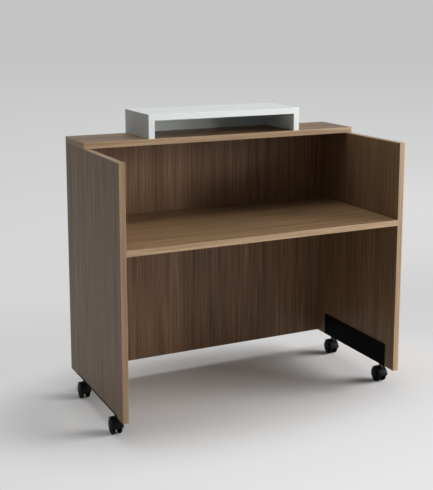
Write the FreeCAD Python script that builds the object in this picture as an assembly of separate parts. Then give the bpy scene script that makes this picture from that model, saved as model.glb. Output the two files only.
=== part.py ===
"""Presentation lectern: a veneered carcass with a raised top board, a painted riser on it,
and a folded steel rail with two twin-wheel swivel casters under each side panel.

Frame: the origin is on the floor, under the middle of the whole object's box.
+X is to the user's right, +Y runs from the user towards the audience, +Z is up.
Lengths are in millimetres.
"""
import FreeCAD, Part
import math
import os
from FreeCAD import Vector

# ---- Driving sizes: carcass ------------------------------------------------------------------
WIDTH = 1220.0             # outside to outside of the side panels
DEPTH = 620.0              # front to rear of the side panels
TOP_HEIGHT = 1067.5        # floor to the upper face of the top board
DESK_HEIGHT = 729.0        # floor to the upper face of the worksurface
TOP_BOARD_DEPTH = 236.0    # front to rear of the top board
BOARD = 24.0               # thickness of every veneered board
BAND = 2.0                 # thickness of the solid wood edge bands
BAND_EASE = 0.6            # rounding of the edge bands' long outer edges
BACK_INSET = 3.0           # back panel's rear face, in from the side panels' rear edges

# ---- Driving sizes: riser --------------------------------------------------------------------
RISER_WIDTH = 686.0
RISER_HEIGHT = 97.0        # above the top board
RISER_WALL = 25.5
RISER_LIP = 40.0           # how far the riser's back hangs down behind the top board

# ---- Driving sizes: rails --------------------------------------------------------------------
RAIL_GAUGE = 3.0
RAIL_BEND = 1.0            # inside radius of the folds
RAIL_FLANGE = 97.0         # height of the wall on the panel's inner face
RAIL_LIP = 10.0            # height of the lip let into the panel's outer face
RAIL_FRONT_SETBACK = 61.0  # from the side panel's front edge
RAIL_REAR_SETBACK = 93.5   # from the side panel's rear edge
RAIL_FIT = 0.2             # room between the rail and the rebate that it sits in
CASTER_INSET = 44.0        # caster stem, in from the end of the rail

# ---- Driving sizes: casters ------------------------------------------------------------------
WHEEL_RADIUS = 31.5
WHEEL_DOME = 4.0           # how far the hub's face bulges beyond the rim
RIM_WIDTH = 8.0
TREAD = 5.0                # radial thickness of the tyre
TREAD_ROUND = 1.8          # rounding of the tyre's shoulders
TREAD_GAP = 0.05           # bond line between tyre and hub
TRAIL = 12.0               # the axle lies this far behind the stem
WEB = 13.0                 # thickness of the housing between the wheels
WEB_RADIUS = 17.0          # the web's lower end, round the axle
WHEEL_GAP = 3.0            # between the web and each wheel
HOOD_CLEARANCE = 1.7       # between the tyre and the hood
HOOD_WALL = 2.5            # at the hood's crown
HOOD_EDGE_WALL = 1.4       # at the hood's open sides
HOOD_ARC = 130.0           # degrees, from level in front to behind the top
BOSS_RISE = 3.8            # stem boss above the hood's crown
AXLE_RADIUS = 3.0
RUNNING_GAP = 0.05         # radial room where something turns
PRESS_GAP = 0.02           # radial room where something is pressed in
HUB_BOSS_RADIUS = 8.0
HUB_RECESS = 5.5           # depth of the hollow in the hub's inner side
HUB_RIM = 3.5              # radial wall of the hub outside that hollow
BLIND_WALL = 1.6           # hub wall over the end of the axle
SNAP_WIDTH = 1.2           # groove in the axle that keeps the wheel on
SNAP_DEPTH = 0.5
SNAP_ROOM = 0.1
SNAP_BEAD = 1.0            # length of the axle beyond its groove

# ---- Driving sizes: stems, nuts and clips ----------------------------------------------------
PIN_RADIUS = 4.0           # the stem inside the housing
PIN_FLOOR = 8.5            # the stem's bore ends this far above the axle's centre
SHOULDER_RADIUS = 6.0
SHOULDER_LENGTH = 10.0     # between the housing and the collar
SHOULDER_GAP = 0.3
COLLAR = 4.0               # thickness of the hexagonal collar
COLLAR_FLATS = 16.0
THREAD_RADIUS = 5.0
NUT_RADIUS = 7.0
NUT_LENGTH = 20.0
NUT_CHAMFER = RAIL_BEND    # keeps the nut's lower rim clear of the rail's folds
NUT_HOLE_ROOM = 1.0        # beyond the nut's end
STEM_HOLE_ROOM = 0.5       # round the thread, in the rail
CLIP_HEIGHT = 1.4
CLIP_RISE = 6.0            # above the floor of the stem's bore
CLIP_DEPTH = 0.8           # depth of the stem's groove
CLIP_REACH = 1.0           # how far the clip stands out of the stem
CLIP_ROOM = 0.15
CLIP_OPENING = 60.0        # degrees

# ---- Driving sizes: fastenings ---------------------------------------------------------------
GLUE_GAP = 0.1             # radial room round anything set in a drilled hole
END_ROOM = 1.0             # room at the bottom of a drilled hole
DOWEL_RADIUS = 4.0
DOWEL_CHAMFER = 0.8
DOWEL_IN_FACE = 12.0
DOWEL_IN_EDGE = 20.0
DOWEL_MARGIN = 60.0        # first dowel, in from the end of a joint
SHORT_DOWEL_MARGIN = 30.0  # the same across the top board and along the riser's walls
SCREW_RADIUS = 2.5
SCREW_HEAD_RADIUS = 4.8
SCREW_HEAD_HEIGHT = 2.6
SCREW_TIP = 4.0
RECESS_LENGTH = 4.6        # the cross in the screw's head
RECESS_WIDTH = 1.1
RECESS_DEPTH = 1.8
SCREW_GRIP = 34.0          # length in the piece that the screw bites
RAIL_SCREWS = 3            # in each rail, between its casters
CAM_RADIUS = 7.5
CAM_HEIGHT = 12.6          # up from the worksurface's underside
CAM_SETBACK = 34.0         # cam centre, in from the worksurface's end
CAM_SLOT_WIDTH = 2.2       # screwdriver slot
CAM_SLOT_LENGTH = 10.5
CAM_SLOT_DEPTH = 2.2
CAM_POCKET_ROOM = 0.6      # above the cam
CAM_BOLT_RADIUS = 2.6
CAM_HEAD_RADIUS = 3.4
CAM_HEAD = 3.0
CAM_THREAD_RADIUS = 3.0
CAM_THREAD = 11.0          # in the side panel
CAM_MARGIN = 70.0          # first cam, in from the worksurface's front

# ---- Levels and planes that follow from them -------------------------------------------------
OVERALL_DEPTH = DEPTH + RISER_WALL
FRONT = -OVERALL_DEPTH / 2
REAR = FRONT + DEPTH
OUTSIDE = WIDTH / 2
INSIDE = OUTSIDE - BOARD
MID_PANEL = OUTSIDE - BOARD / 2
AXLE_HEIGHT = WHEEL_RADIUS
HOOD_INNER = WHEEL_RADIUS + HOOD_CLEARANCE
HOOD_OUTER = HOOD_INNER + HOOD_WALL
BOSS_TOP = AXLE_HEIGHT + HOOD_OUTER + BOSS_RISE
FOOT = BOSS_TOP + SHOULDER_LENGTH + COLLAR
PANEL_TOP = TOP_HEIGHT - BOARD
BACK_FRONT = REAR - BACK_INSET - BOARD
BACK_MID = BACK_FRONT + BOARD / 2
TOP_FRONT = REAR - TOP_BOARD_DEPTH
DESK_UNDER = DESK_HEIGHT - BOARD
DESK_MID = DESK_HEIGHT - BOARD / 2
RISER_TOP = TOP_HEIGHT + RISER_HEIGHT
RISER_UNDER = RISER_TOP - RISER_WALL
RISER_WALL_MID = (RISER_WIDTH - RISER_WALL) / 2
RAIL_FRONT = FRONT + RAIL_FRONT_SETBACK
RAIL_REAR = REAR - RAIL_REAR_SETBACK
WEB_TOP = FOOT + RAIL_GAUGE
STEM_PLACES = {"front": RAIL_FRONT + CASTER_INSET, "rear": RAIL_REAR - CASTER_INSET}
WHEEL_INNER = WEB / 2 + WHEEL_GAP
WHEEL_RIM = WHEEL_INNER + RIM_WIDTH
WHEEL_FACE = WHEEL_RIM + WHEEL_DOME

X = Vector(1, 0, 0)
Y = Vector(0, 1, 0)
Z = Vector(0, 0, 1)
ORIGIN = Vector(0, 0, 0)


# ---- General helpers -------------------------------------------------------------------------
def box(x_range, y_range, z_range):
    """A box between two values on each axis."""
    low = Vector(x_range[0], y_range[0], z_range[0])
    size = Vector(x_range[1], y_range[1], z_range[1]) - low
    return Part.makeBox(size.x, size.y, size.z, low)


def rod(start, direction, length, radius):
    """A cylinder from start along direction."""
    return Part.makeCylinder(radius, length, start, direction)


def spread(first, last, count):
    """Evenly spaced values, both ends included."""
    step = (last - first) / (count - 1)
    return [first + step * index for index in range(count)]


def across(shape):
    """The same shape on the other side of the object's middle plane."""
    return shape.mirror(ORIGIN, X)


def edges_along(shape, axis, test):
    """Straight edges parallel to axis whose middle passes the test."""
    chosen = []
    for edge in shape.Edges:
        span = edge.Vertexes[-1].Point - edge.Vertexes[0].Point
        if span.Length < 1e-6 or abs(span.normalize().dot(axis)) < 0.999:
            continue
        if test(edge.CenterOfMass):
            chosen.append(edge)
    return chosen


def circles(shape):
    """The shape's round edges."""
    return [edge for edge in shape.Edges if edge.Curve.TypeId == "Part::GeomCircle"]


def turned(points, centre, axis, angle=360.0):
    """The solid that a closed outline sweeps round an axis. A point that is a tuple of two is
    the middle and end of an arc."""
    edges = []
    here = points[0]
    for step in points[1:] + [points[0]]:
        if isinstance(step, tuple):
            middle, there = step
            edges.append(Part.Arc(here, middle, there).toShape())
        else:
            there = step
            edges.append(Part.LineSegment(here, there).toShape())
        here = there
    return Part.Face(Part.Wire(edges)).revolve(centre, axis, angle)


def save(name, shapes):
    """Write one node; several shapes make a group of separate solids."""
    solids = [solid for shape in shapes for solid in shape.Solids]
    node = solids[0] if len(solids) == 1 else Part.makeCompound(solids)
    node.exportStep(f"parts/{name}.step")


# ---- Fastenings ------------------------------------------------------------------------------
def dowel(place, direction):
    """A dowel across a joint plane: its edge-grain end lies along direction."""
    start = place - direction * DOWEL_IN_FACE
    shape = rod(start, direction, DOWEL_IN_FACE + DOWEL_IN_EDGE, DOWEL_RADIUS)
    return shape.makeChamfer(DOWEL_CHAMFER, circles(shape))


def dowel_hole(place, direction):
    """The hole for that dowel, in both boards at once."""
    start = place - direction * (DOWEL_IN_FACE + END_ROOM)
    length = DOWEL_IN_FACE + DOWEL_IN_EDGE + 2 * END_ROOM
    return rod(start, direction, length, DOWEL_RADIUS + GLUE_GAP)


def screw(head, through):
    """A countersunk screw driven upwards from head, through one piece and into the next."""
    length = through + SCREW_GRIP
    cone = Part.makeCone(SCREW_HEAD_RADIUS, SCREW_RADIUS, SCREW_HEAD_HEIGHT, head, Z)
    shank = rod(head, Z, length - SCREW_TIP, SCREW_RADIUS)
    tip = Part.makeCone(SCREW_RADIUS, 0, SCREW_TIP, head + Z * (length - SCREW_TIP), Z)
    shape = cone.fuse([shank, tip])
    for half in ((RECESS_LENGTH / 2, RECESS_WIDTH / 2), (RECESS_WIDTH / 2, RECESS_LENGTH / 2)):
        bar = box((-half[0], half[0]), (-half[1], half[1]), (0, RECESS_DEPTH))
        bar.translate(head)
        shape = shape.cut(bar)
    return shape


def screw_hole(head, through):
    """Clearance for that screw, head and tip."""
    cone = Part.makeCone(
        SCREW_HEAD_RADIUS + GLUE_GAP, SCREW_RADIUS + GLUE_GAP, SCREW_HEAD_HEIGHT, head, Z
    )
    shank = rod(head, Z, through + SCREW_GRIP + END_ROOM, SCREW_RADIUS + GLUE_GAP)
    return cone.fuse(shank)


def cam_bolt(y):
    """Bolt screwed into the right side panel, reaching into the worksurface's end."""
    joint = Vector(INSIDE, y, DESK_MID)
    head_end = CAM_SETBACK
    thread = rod(joint, X, CAM_THREAD, CAM_THREAD_RADIUS)
    shank = rod(joint - X * head_end, X, head_end, CAM_BOLT_RADIUS)
    head = rod(joint - X * head_end, X, CAM_HEAD, CAM_HEAD_RADIUS)
    return thread.fuse([shank, head])


def cam_lock(y):
    """Cam in the worksurface's underside, hollowed where the bolt's head enters."""
    centre = Vector(INSIDE - CAM_SETBACK, y, DESK_UNDER)
    shape = rod(centre, Z, CAM_HEIGHT, CAM_RADIUS)
    entry = Vector(centre.x - CAM_HEAD / 2, y, DESK_MID)
    shape = shape.cut(rod(entry, X, CAM_RADIUS + CAM_HEAD, CAM_HEAD_RADIUS + GLUE_GAP))
    slot = box(
        (centre.x - CAM_SLOT_LENGTH / 2, centre.x + CAM_SLOT_LENGTH / 2),
        (y - CAM_SLOT_WIDTH / 2, y + CAM_SLOT_WIDTH / 2),
        (DESK_UNDER, DESK_UNDER + CAM_SLOT_DEPTH),
    )
    return shape.cut(slot)


def cam_pocket(y):
    """Room for the cam lock in the worksurface."""
    centre = Vector(INSIDE - CAM_SETBACK, y, DESK_UNDER)
    return rod(centre, Z, CAM_HEIGHT + CAM_POCKET_ROOM, CAM_RADIUS + GLUE_GAP)


def cam_bolt_hole(y):
    """Hole for the cam bolt: through the worksurface's end and into the side panel."""
    joint = Vector(INSIDE, y, DESK_MID)
    wide = rod(joint - X * CAM_SETBACK, X, CAM_SETBACK, CAM_HEAD_RADIUS + GLUE_GAP)
    narrow = rod(joint, X, CAM_THREAD + END_ROOM, CAM_THREAD_RADIUS + GLUE_GAP)
    return wide.fuse(narrow)


# ---- Places of the fastenings (right half where the object is symmetric) ---------------------
BACK_DOWELS = [
    (Vector(INSIDE, BACK_MID, z), X * -1)
    for z in spread(FOOT + DOWEL_MARGIN, PANEL_TOP - DOWEL_MARGIN, 4)
]
TOP_SIDE_DOWELS = [
    (Vector(MID_PANEL, y, PANEL_TOP), Z * -1)
    for y in spread(TOP_FRONT + SHORT_DOWEL_MARGIN, BACK_FRONT - SHORT_DOWEL_MARGIN, 3)
]
TOP_BACK_DOWELS = [
    (Vector(x, BACK_MID, PANEL_TOP), Z * -1)
    for x in spread(-INSIDE + DOWEL_MARGIN, INSIDE - DOWEL_MARGIN, 5)
]
DESK_BACK_DOWELS = [
    (Vector(x, BACK_FRONT, DESK_MID), Y * -1)
    for x in spread(-INSIDE + DOWEL_MARGIN, INSIDE - DOWEL_MARGIN, 5)
]
CAM_PLACES = spread(FRONT + CAM_MARGIN, BACK_FRONT - CAM_MARGIN, 3)
DESK_SIDE_DOWELS = [
    (Vector(INSIDE, y, DESK_MID), X * -1)
    for y in ((CAM_PLACES[0] + CAM_PLACES[1]) / 2, (CAM_PLACES[1] + CAM_PLACES[2]) / 2)
]
RISER_SIDE_DOWELS = [
    (Vector(RISER_WALL_MID, y, RISER_UNDER), Z * -1)
    for y in spread(TOP_FRONT + SHORT_DOWEL_MARGIN, REAR - SHORT_DOWEL_MARGIN, 3)
]
RISER_BACK_DOWELS = [
    (Vector(x, REAR + RISER_WALL / 2, RISER_UNDER), Z * -1)
    for x in spread(-RISER_WALL_MID + DOWEL_MARGIN, RISER_WALL_MID - DOWEL_MARGIN, 4)
]
RISER_SCREW_HEADS = [
    Vector(RISER_WALL_MID, y, PANEL_TOP)
    for y in spread(TOP_FRONT + DOWEL_MARGIN, REAR - DOWEL_MARGIN, 2)
]
RAIL_SCREW_HEADS = [
    Vector(MID_PANEL, y, FOOT)
    for y in spread(STEM_PLACES["front"], STEM_PLACES["rear"], RAIL_SCREWS + 2)[1:-1]
]


def both_sides(shapes):
    """Shapes on the right, and the same on the left."""
    return shapes + [across(shape) for shape in shapes]


def holes(places):
    """Dowel holes for a list of places."""
    return [dowel_hole(place, direction) for place, direction in places]


def dowels(places):
    """Dowels for a list of places."""
    return [dowel(place, direction) for place, direction in places]


# ---- Carcass ---------------------------------------------------------------------------------
def rail_rebate():
    """What the right side panel loses at its foot to take the rail."""
    ends = (RAIL_FRONT - RAIL_FIT, RAIL_REAR + RAIL_FIT)
    lip_top = FOOT + RAIL_LIP + RAIL_FIT
    room = box((INSIDE, OUTSIDE), ends, (FOOT, lip_top))
    tongue = box((INSIDE, OUTSIDE - RAIL_GAUGE), ends, (WEB_TOP, lip_top))
    corners = edges_along(tongue, Y, lambda middle: middle.z < WEB_TOP + 1e-6)
    return room.cut(tongue.makeFillet(RAIL_BEND + RAIL_FIT, corners))


def top_band_room():
    """The open stretch of the right side panel's top edge, just in under the top board."""
    return box((INSIDE, OUTSIDE), (FRONT + BAND, TOP_FRONT + BAND), (PANEL_TOP - BAND, PANEL_TOP))


def side_panel():
    """The right side panel's board, without its edge bands."""
    board = box((INSIDE, OUTSIDE), (FRONT + BAND, REAR - BAND), (FOOT, PANEL_TOP))
    cuts = [rail_rebate(), top_band_room()]
    cuts += holes(BACK_DOWELS + TOP_SIDE_DOWELS + DESK_SIDE_DOWELS)
    cuts += [cam_bolt_hole(y) for y in CAM_PLACES]
    cuts += [screw_hole(head, RAIL_GAUGE) for head in RAIL_SCREW_HEADS]
    for y in STEM_PLACES.values():
        foot = Vector(MID_PANEL, y, FOOT)
        depth = RAIL_GAUGE + NUT_LENGTH + NUT_HOLE_ROOM
        cuts.append(rod(foot, Z, depth, NUT_RADIUS + GLUE_GAP))
    return board.cut(cuts)


def eased(band, axis, test):
    """An edge band with its long outer edges rounded."""
    return band.makeFillet(BAND_EASE, edges_along(band, axis, test))


def side_bands():
    """Edge bands of the right side panel: front, rear, and top where the edge is open."""
    heights = (FOOT, PANEL_TOP)
    front = box((INSIDE, OUTSIDE), (FRONT, FRONT + BAND), heights)
    rear = box((INSIDE, OUTSIDE), (REAR - BAND, REAR), heights)
    return [
        eased(front, Z, lambda middle: middle.y < FRONT + BAND / 2),
        eased(rear, Z, lambda middle: middle.y > REAR - BAND / 2),
        eased(top_band_room(), Y, lambda middle: middle.z > PANEL_TOP - BAND / 2),
    ]


def back_panel():
    """The panel between the side panels, from their feet to the top board."""
    board = box((-INSIDE, INSIDE), (BACK_FRONT, BACK_FRONT + BOARD), (FOOT, PANEL_TOP))
    cuts = both_sides(holes(BACK_DOWELS)) + holes(TOP_BACK_DOWELS + DESK_BACK_DOWELS)
    return board.cut(cuts)


def top_board():
    """The board over the side panels and the back panel, without its edge bands."""
    board = box(
        (-OUTSIDE + BAND, OUTSIDE - BAND), (TOP_FRONT + BAND, REAR - BAND), (PANEL_TOP, TOP_HEIGHT)
    )
    cuts = both_sides(holes(TOP_SIDE_DOWELS)) + holes(TOP_BACK_DOWELS)
    cuts += both_sides([screw_hole(head, BOARD) for head in RISER_SCREW_HEADS])
    return board.cut(cuts)


def top_bands():
    """Edge bands round the top board: front and rear over the ends of the short ones."""
    heights = (PANEL_TOP, TOP_HEIGHT)
    front = box((-OUTSIDE, OUTSIDE), (TOP_FRONT, TOP_FRONT + BAND), heights)
    rear = box((-OUTSIDE, OUTSIDE), (REAR - BAND, REAR), heights)
    end = box((OUTSIDE - BAND, OUTSIDE), (TOP_FRONT + BAND, REAR - BAND), heights)
    end = eased(end, Y, lambda middle: middle.x > OUTSIDE - BAND / 2)
    return [
        eased(front, X, lambda middle: middle.y < TOP_FRONT + BAND / 2),
        eased(rear, X, lambda middle: middle.y > REAR - BAND / 2),
    ] + both_sides([end])


def worksurface():
    """The board between the side panels, up to the back panel, without its front band."""
    board = box((-INSIDE, INSIDE), (FRONT + BAND, BACK_FRONT), (DESK_UNDER, DESK_HEIGHT))
    right = [cam_pocket(y) for y in CAM_PLACES] + [cam_bolt_hole(y) for y in CAM_PLACES]
    right += holes(DESK_SIDE_DOWELS)
    return board.cut(both_sides(right) + holes(DESK_BACK_DOWELS))


def worksurface_band():
    """Front edge band of the worksurface."""
    band = box((-INSIDE, INSIDE), (FRONT, FRONT + BAND), (DESK_UNDER, DESK_HEIGHT))
    return eased(band, X, lambda middle: middle.y < FRONT + BAND / 2)


# ---- Riser -----------------------------------------------------------------------------------
def riser_top():
    """The riser's upper board, over its walls and back."""
    half = RISER_WIDTH / 2
    board = box((-half, half), (TOP_FRONT, REAR + RISER_WALL), (RISER_UNDER, RISER_TOP))
    return board.cut(both_sides(holes(RISER_SIDE_DOWELS)) + holes(RISER_BACK_DOWELS))


def riser_wall():
    """The riser's right wall, standing on the top board."""
    half = RISER_WIDTH / 2
    board = box((half - RISER_WALL, half), (TOP_FRONT, REAR), (TOP_HEIGHT, RISER_UNDER))
    cuts = holes(RISER_SIDE_DOWELS) + [screw_hole(head, BOARD) for head in RISER_SCREW_HEADS]
    return board.cut(cuts)


def riser_back():
    """The riser's back, behind the top board and hanging down over its rear edge."""
    half = RISER_WIDTH / 2
    board = box((-half, half), (REAR, REAR + RISER_WALL), (TOP_HEIGHT - RISER_LIP, RISER_UNDER))
    return board.cut(holes(RISER_BACK_DOWELS))


# ---- Rails -----------------------------------------------------------------------------------
def rail():
    """The right rail: a folded strip round the foot of the side panel."""
    ends = (RAIL_FRONT, RAIL_REAR)
    flange_top = FOOT + RAIL_FLANGE
    outer = box((INSIDE - RAIL_GAUGE, OUTSIDE), ends, (FOOT, flange_top))
    low = edges_along(outer, Y, lambda middle: middle.z < FOOT + 1e-6)
    outer = outer.makeFillet(RAIL_BEND + RAIL_GAUGE, low)
    inner = box((INSIDE, OUTSIDE - RAIL_GAUGE), ends, (WEB_TOP, flange_top))
    low = edges_along(inner, Y, lambda middle: middle.z < WEB_TOP + 1e-6)
    inner = inner.makeFillet(RAIL_BEND, low)
    over_lip = box((OUTSIDE - RAIL_GAUGE, OUTSIDE), ends, (FOOT + RAIL_LIP, flange_top))
    cuts = [inner, over_lip] + [screw_hole(head, RAIL_GAUGE) for head in RAIL_SCREW_HEADS]
    for y in STEM_PLACES.values():
        foot = Vector(MID_PANEL, y, FOOT)
        cuts.append(rod(foot, Z, RAIL_GAUGE, THREAD_RADIUS + STEM_HOLE_ROOM))
    return outer.cut(cuts)


def caster_nut(y):
    """Threaded insert in the foot of the right side panel, on the rail's web."""
    place = Vector(MID_PANEL, y, WEB_TOP)
    barrel = rod(place, Z, NUT_LENGTH, NUT_RADIUS)
    low_rim = [edge for edge in circles(barrel) if edge.CenterOfMass.z < WEB_TOP + NUT_CHAMFER]
    bore = rod(place, Z, NUT_LENGTH, THREAD_RADIUS + GLUE_GAP)
    return barrel.makeChamfer(NUT_CHAMFER, low_rim).cut(bore)


# ---- Casters, built with the stem's axis on x = y = 0 ----------------------------------------
AXLE_CENTRE = Vector(0, TRAIL, AXLE_HEIGHT)
BORE_FLOOR = AXLE_HEIGHT + PIN_FLOOR
CLIP_LOW = BORE_FLOOR + CLIP_RISE
SNAP_INNER = WHEEL_FACE - BLIND_WALL - SNAP_ROOM - SNAP_BEAD - SNAP_WIDTH
AXLE_END = SNAP_INNER + SNAP_WIDTH + SNAP_BEAD


def off_axle(x, radius):
    """A point beside the axle, level with it and in front."""
    return Vector(x, TRAIL - radius, AXLE_HEIGHT)


def dome(radius):
    """x of the hub's face at a radius: the arc of a sphere over the rim."""
    rim = WHEEL_RADIUS - TREAD
    sphere = (rim ** 2 + WHEEL_DOME ** 2) / (2 * WHEEL_DOME)
    return WHEEL_FACE - sphere + math.sqrt(sphere ** 2 - radius ** 2)


def upright(points):
    """Outline beside the stem's axis, from pairs of radius and height."""
    return [Vector(radius, 0, height) for radius, height in points]


def caster_stem():
    """Threaded stud, hexagonal collar, shoulder, and the pin that the housing turns on."""
    groove = PIN_RADIUS - CLIP_DEPTH
    top = FOOT + RAIL_GAUGE + NUT_LENGTH
    shaft = turned(upright([
        (0, BORE_FLOOR + RUNNING_GAP), (PIN_RADIUS, BORE_FLOOR + RUNNING_GAP),
        (PIN_RADIUS, CLIP_LOW), (groove, CLIP_LOW),
        (groove, CLIP_LOW + CLIP_HEIGHT + CLIP_ROOM), (PIN_RADIUS, CLIP_LOW + CLIP_HEIGHT + CLIP_ROOM),
        (PIN_RADIUS, BOSS_TOP + SHOULDER_GAP), (SHOULDER_RADIUS, BOSS_TOP + SHOULDER_GAP),
        (SHOULDER_RADIUS, FOOT - COLLAR), (THREAD_RADIUS, FOOT - COLLAR),
        (THREAD_RADIUS, top), (0, top),
    ]), ORIGIN, Z)
    corner = COLLAR_FLATS / math.sqrt(3)
    turns = [math.radians(60 * index) for index in range(7)]
    ring = [Vector(corner * math.cos(a), corner * math.sin(a), FOOT - COLLAR) for a in turns]
    collar = Part.Face(Part.makePolygon(ring)).extrude(Z * COLLAR)
    return shaft.fuse(collar).removeSplitter()


def stem_clip():
    """Snap ring in the stem's groove, open on one side."""
    inner = PIN_RADIUS - CLIP_DEPTH + CLIP_ROOM
    outer = PIN_RADIUS + CLIP_REACH
    low = CLIP_LOW + CLIP_ROOM / 2
    half = CLIP_OPENING / 2
    outline = upright([
        (inner, low), (outer, low), (outer, low + CLIP_HEIGHT), (inner, low + CLIP_HEIGHT)
    ])
    ring = turned(outline, ORIGIN, Z, 360.0 - CLIP_OPENING)
    ring.rotate(ORIGIN, Z, half)
    return ring


def caster_housing():
    """Web between the wheels, hood over them, and the boss that the stem turns in."""
    half = WHEEL_FACE
    crown = HOOD_OUTER
    side = HOOD_INNER + HOOD_EDGE_WALL
    hood = turned([
        off_axle(-half, HOOD_INNER), off_axle(-half, side),
        (off_axle(0, crown), off_axle(half, side)), off_axle(half, HOOD_INNER),
    ], AXLE_CENTRE, X * -1, HOOD_ARC)
    sector = turned([
        off_axle(-WEB / 2, 0), off_axle(-WEB / 2, HOOD_INNER + HOOD_EDGE_WALL),
        off_axle(WEB / 2, HOOD_INNER + HOOD_EDGE_WALL), off_axle(WEB / 2, 0),
    ], AXLE_CENTRE, X * -1, HOOD_ARC)
    disc = rod(AXLE_CENTRE - X * (WEB / 2), X, WEB, WEB_RADIUS)
    boss = rod(Vector(0, 0, AXLE_HEIGHT), Z, BOSS_TOP - AXLE_HEIGHT, WEB / 2)
    shape = hood.fuse([sector, disc, boss]).removeSplitter()
    bore = rod(Vector(0, 0, BORE_FLOOR), Z, BOSS_TOP - BORE_FLOOR, PIN_RADIUS + RUNNING_GAP)
    groove = rod(
        Vector(0, 0, CLIP_LOW), Z, CLIP_HEIGHT + CLIP_ROOM, PIN_RADIUS + CLIP_REACH + CLIP_ROOM
    )
    axle_hole = rod(AXLE_CENTRE - X * WEB, X, 2 * WEB, AXLE_RADIUS + PRESS_GAP)
    return shape.cut([bore, groove, axle_hole])


def caster_axle():
    """Steel pin with a snap groove near each end."""
    neck = AXLE_RADIUS - SNAP_DEPTH
    outline = []
    for sign in (-1, 1):
        steps = [
            (AXLE_END, 0), (AXLE_END, neck), (AXLE_END - SNAP_DEPTH, AXLE_RADIUS),
            (SNAP_INNER + SNAP_WIDTH, AXLE_RADIUS), (SNAP_INNER + SNAP_WIDTH, neck),
            (SNAP_INNER, neck), (SNAP_INNER, AXLE_RADIUS),
        ]
        if sign > 0:
            steps.reverse()
        outline += [off_axle(sign * x, radius) for x, radius in steps]
    return turned(outline, AXLE_CENTRE, X)


def wheel_hub():
    """Hub with a domed face, a hollow inner side and a blind bore that snaps on the axle."""
    rim = WHEEL_RADIUS - TREAD - TREAD_GAP
    bore = AXLE_RADIUS + RUNNING_GAP
    ridge = AXLE_RADIUS - SNAP_DEPTH + RUNNING_GAP
    hollow = rim - HUB_RIM
    floor = WHEEL_INNER + HUB_RECESS
    blind = WHEEL_FACE - BLIND_WALL
    return turned([
        off_axle(WHEEL_INNER, bore), off_axle(SNAP_INNER + SNAP_ROOM, bore),
        off_axle(SNAP_INNER + SNAP_ROOM, ridge),
        off_axle(SNAP_INNER + SNAP_WIDTH - SNAP_ROOM, ridge),
        off_axle(SNAP_INNER + SNAP_WIDTH - SNAP_ROOM, bore), off_axle(blind, bore),
        off_axle(blind, 0), off_axle(dome(0), 0),
        (off_axle(dome(rim / 2), rim / 2), off_axle(dome(rim), rim)),
        off_axle(WHEEL_INNER, rim), off_axle(WHEEL_INNER, hollow), off_axle(floor, hollow),
        off_axle(floor, HUB_BOSS_RADIUS), off_axle(WHEEL_INNER, HUB_BOSS_RADIUS),
    ], AXLE_CENTRE, X)


def tyre():
    """Soft tread ring with rounded shoulders."""
    low = WHEEL_RADIUS - TREAD
    shoulder = WHEEL_RADIUS - TREAD_ROUND
    bulge = TREAD_ROUND * (1 - math.sqrt(0.5))
    inner, outer = WHEEL_INNER, WHEEL_RIM
    return turned([
        off_axle(inner, low), off_axle(inner, shoulder),
        (off_axle(inner + bulge, WHEEL_RADIUS - bulge), off_axle(inner + TREAD_ROUND, WHEEL_RADIUS)),
        off_axle(outer - TREAD_ROUND, WHEEL_RADIUS),
        (off_axle(outer - bulge, WHEEL_RADIUS - bulge), off_axle(outer, shoulder)),
        off_axle(outer, low),
    ], AXLE_CENTRE, X)


def placed(shape, corner_x, corner_y):
    """A caster piece moved from the caster's own axis to its corner."""
    copy = shape.copy()
    copy.translate(Vector(corner_x, corner_y, 0))
    return copy


def save_casters():
    """Write the pieces of all four casters, and the group of their snap rings."""
    pieces = {"stem": caster_stem(), "housing": caster_housing(), "axle": caster_axle()}
    wheel = {"wheel_hub": wheel_hub(), "tyre": tyre()}
    clip = stem_clip()
    clips = []
    for end, y in STEM_PLACES.items():
        for side, outward in (("left", -1), ("right", 1)):
            x = outward * MID_PANEL
            corner = f"{end}_{side}"
            for name, shape in pieces.items():
                save(f"{corner}_caster_{name}", [placed(shape, x, y)])
            for name, shape in wheel.items():
                for place, faces in (("outer", outward), ("inner", -outward)):
                    facing = shape if faces > 0 else across(shape)
                    save(f"{corner}_{place}_{name}", [placed(facing, x, y)])
            clips.append(placed(clip, x, y))
    save("caster_stem_clips", clips)


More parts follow.
